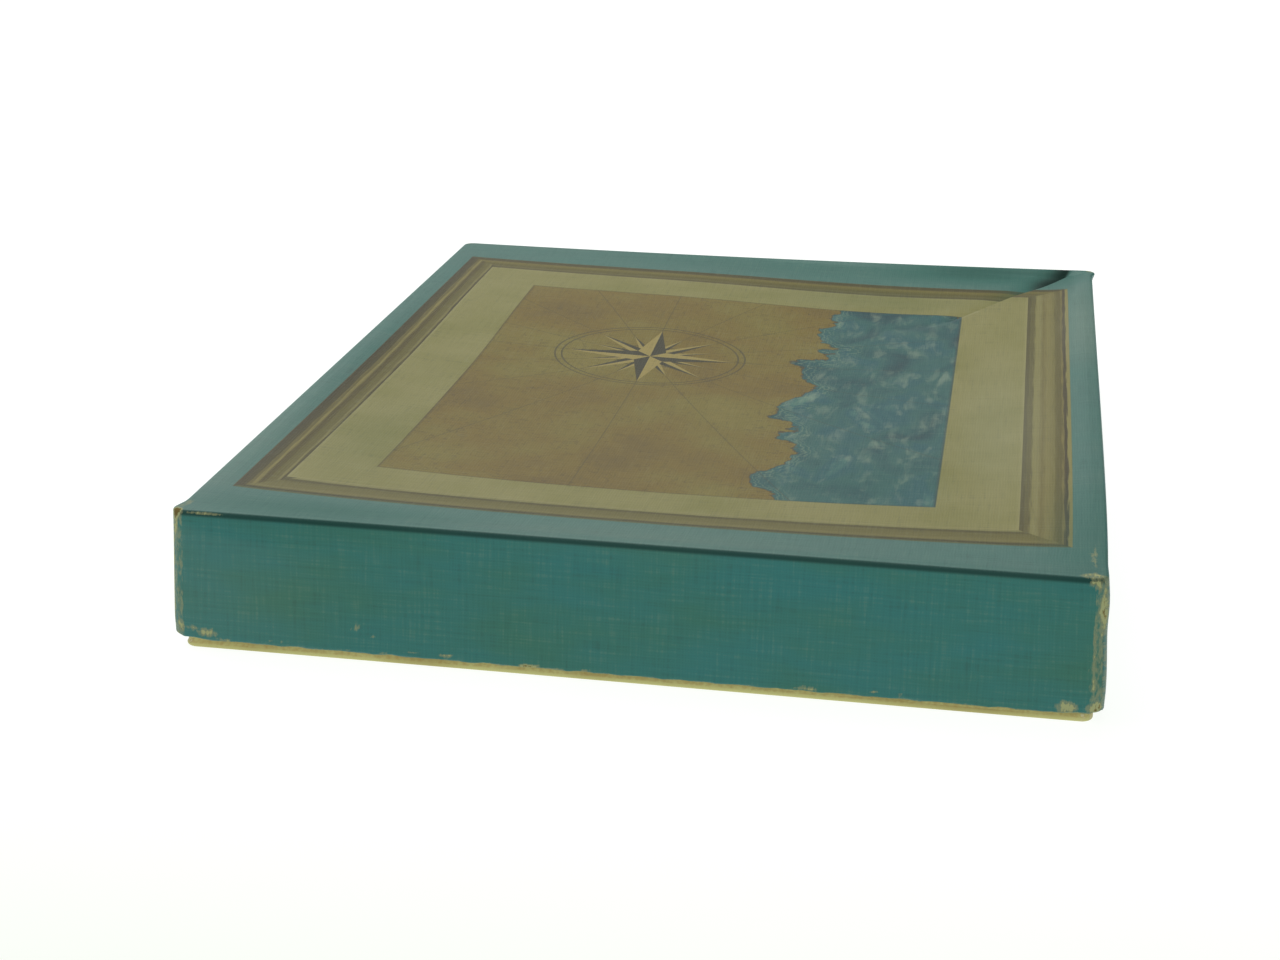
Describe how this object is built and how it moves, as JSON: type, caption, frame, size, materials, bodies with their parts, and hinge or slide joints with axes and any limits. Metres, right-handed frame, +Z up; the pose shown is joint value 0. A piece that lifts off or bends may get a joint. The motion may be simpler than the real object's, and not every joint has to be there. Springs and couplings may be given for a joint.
{
  "type": "boxed fleet guessing game",
  "caption": "Closed telescoping game box of wrapped greyboard: linen-embossed lift-off lid with a framed print, over a pale tray with insert, boards, ships and counters.",
  "frame": {"origin": "on the table, under the middle of the closed box", "axes": "+Z up, +Y along the box's length from its front end to its back end, +X to the right seen from the front"},
  "size_m": [0.343, 0.483, 0.0551],
  "materials": {
    "teal_linen_paper": "linen-embossed, satin varnish, worn edges",
    "greyboard": "matt, flecked",
    "kraft_tape": "matt, fibrous",
    "white_lining_paper": "matt, aged",
    "yellow_paper": "matt, rubbed",
    "white_card": "matt, creased at the folds",
    "blue_cover_paper": "leather-grain embossed",
    "red_cover_paper": "leather-grain embossed",
    "printed_grid_paper": "satin print",
    "screen_board": "satin print",
    "beech": "planed, unvarnished",
    "leaflet_paper": "matt, folded",
    "red_plastic": "moulded, slight gloss",
    "blue_plastic": "moulded, slight gloss",
    "ivory_plastic": "moulded, slight gloss"
  },
  "bodies": {
    "tray": {"tray_wrap": "yellow_paper", "tray_board": "greyboard", "tray_corner_stays": "kraft_tape", "tray_lining": "white_lining_paper", "card_insert": "white_card", "trough_dividers": "white_card"},
    "lid": {"lid_wrap": "teal_linen_paper", "lid_board": "greyboard", "lid_corner_stays": "kraft_tape", "lid_lining": "white_lining_paper"},
    "leaflet": {"rules_leaflet": "leaflet_paper"},
    "screen": {"dividing_screen": "screen_board"},
    "blue_plot": {"blue_board_core": "greyboard", "blue_board_cover": "blue_cover_paper", "blue_board_sheet": "printed_grid_paper"},
    "red_plot": {"red_board_core": "greyboard", "red_board_cover": "red_cover_paper", "red_board_sheet": "printed_grid_paper"},
    "blue_fleet": {"blue_flagship": "blue_plastic", "blue_frigate": "blue_plastic", "blue_corvette": "blue_plastic", "blue_brig": "blue_plastic", "blue_cutter": "blue_plastic"},
    "red_fleet": {"red_flagship": "red_plastic", "red_frigate": "red_plastic", "red_corvette": "red_plastic", "red_brig": "red_plastic", "red_cutter": "red_plastic"},
    "feet": {"screen_feet": "beech"},
    "counters": {"hit_counters": "red_plastic", "miss_counters": "ivory_plastic"}
  },
  "joints": [
    {"name": "lid_lift", "type": "slide", "parent": "tray", "child": "lid", "axis": [0, 0, 1], "range_m": [0, 0.3]},
    {"name": "leaflet_lift", "type": "slide", "parent": "tray", "child": "leaflet", "axis": [0, 0, 1], "range_m": [0, 0.24]},
    {"name": "screen_lift", "type": "slide", "parent": "tray", "child": "screen", "axis": [0, 0, 1], "range_m": [0, 0.198]},
    {"name": "blue_plot_lift", "type": "slide", "parent": "tray", "child": "blue_plot", "axis": [0, 0, 1], "range_m": [0, 0.15]},
    {"name": "red_plot_lift", "type": "slide", "parent": "tray", "child": "red_plot", "axis": [0, 0, 1], "range_m": [0, 0.15]},
    {"name": "blue_fleet_lift", "type": "slide", "parent": "tray", "child": "blue_fleet", "axis": [0, 0, 1], "range_m": [0, 0.066]},
    {"name": "red_fleet_lift", "type": "slide", "parent": "tray", "child": "red_fleet", "axis": [0, 0, 1], "range_m": [0, 0.066]},
    {"name": "feet_lift", "type": "slide", "parent": "tray", "child": "feet", "axis": [0, 0, 1], "range_m": [0, 0.066]},
    {"name": "counters_lift", "type": "slide", "parent": "tray", "child": "counters", "axis": [0, 0, 1], "range_m": [0, 0.066]}
  ],
  "couplings": [
    {"joint": "leaflet_lift", "follows": "lid_lift", "ratio": 0.8},
    {"joint": "screen_lift", "follows": "lid_lift", "ratio": 0.66},
    {"joint": "blue_plot_lift", "follows": "lid_lift", "ratio": 0.5},
    {"joint": "red_plot_lift", "follows": "lid_lift", "ratio": 0.5},
    {"joint": "blue_fleet_lift", "follows": "lid_lift", "ratio": 0.22},
    {"joint": "red_fleet_lift", "follows": "lid_lift", "ratio": 0.22},
    {"joint": "feet_lift", "follows": "lid_lift", "ratio": 0.22},
    {"joint": "counters_lift", "follows": "lid_lift", "ratio": 0.22}
  ]
}
